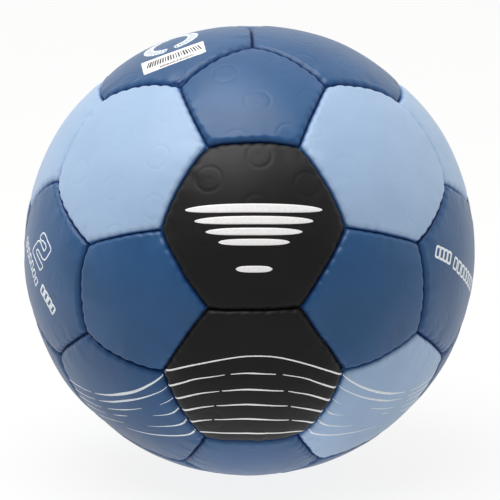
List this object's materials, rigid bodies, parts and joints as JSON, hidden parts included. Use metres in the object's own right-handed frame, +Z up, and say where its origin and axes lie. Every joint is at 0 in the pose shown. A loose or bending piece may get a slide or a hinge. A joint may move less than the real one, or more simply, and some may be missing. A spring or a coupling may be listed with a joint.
{
  "type": "handball",
  "caption": "Hand-stitched handball: black, dark blue and light blue cover panels with turned-in edges, foam and lining, sewn over a latex bladder with a needle valve.",
  "frame": {"origin": "centre of the ball", "axes": "+Z up, -Y towards the camera of the picture, +X to its right"},
  "size_m": [0.174, 0.174, 0.174],
  "materials": {
    "skin_black": "satin synthetic leather",
    "skin_dark_blue": "satin synthetic leather",
    "skin_light_blue": "satin synthetic leather",
    "foam": "closed-cell foam",
    "lining": "woven cloth",
    "thread": "waxed thread",
    "latex": "matt latex",
    "valve_rubber": "matt black rubber"
  },
  "bodies": {
    "root": {"hexagon_front_upper": "skin_black", "hexagon_front_lower": "skin_black", "hexagon_back_upper": "skin_black", "hexagon_back_lower": "skin_black", "hexagon_top_left": "skin_dark_blue", "hexagon_top_right": "skin_dark_blue", "hexagon_bottom_left": "skin_dark_blue", "hexagon_bottom_right": "skin_dark_blue", "hexagon_left_front": "skin_dark_blue", "hexagon_left_back": "skin_dark_blue", "hexagon_right_front": "skin_dark_blue", "hexagon_right_back": "skin_dark_blue", "hexagon_front_left_upper": "skin_light_blue", "hexagon_front_right_upper": "skin_light_blue", "hexagon_front_left_lower": "skin_dark_blue", "hexagon_front_right_lower": "skin_light_blue", "hexagon_back_left_upper": "skin_light_blue", "hexagon_back_right_upper": "skin_light_blue", "hexagon_back_left_lower": "skin_light_blue", "hexagon_back_right_lower": "skin_dark_blue", "pentagon_front_top": "skin_dark_blue", "pentagon_front_bottom": "skin_dark_blue", "pentagon_back_top": "skin_dark_blue", "pentagon_back_bottom": "skin_dark_blue", "pentagon_front_left": "skin_dark_blue", "pentagon_front_right": "skin_dark_blue", "pentagon_back_left": "skin_dark_blue", "pentagon_back_right": "skin_dark_blue", "pentagon_left_upper": "skin_light_blue", "pentagon_left_lower": "skin_dark_blue", "pentagon_right_upper": "skin_light_blue", "pentagon_right_lower": "skin_dark_blue", "foam_hexagons": "foam", "foam_pentagons": "foam", "lining_hexagons": "lining", "lining_pentagons": "lining", "stitching_between_hexagons": "thread", "stitching_round_pentagons": "thread", "bladder": "latex", "valve_boot": "valve_rubber", "valve_core": "valve_rubber"}
  },
  "joints": []
}
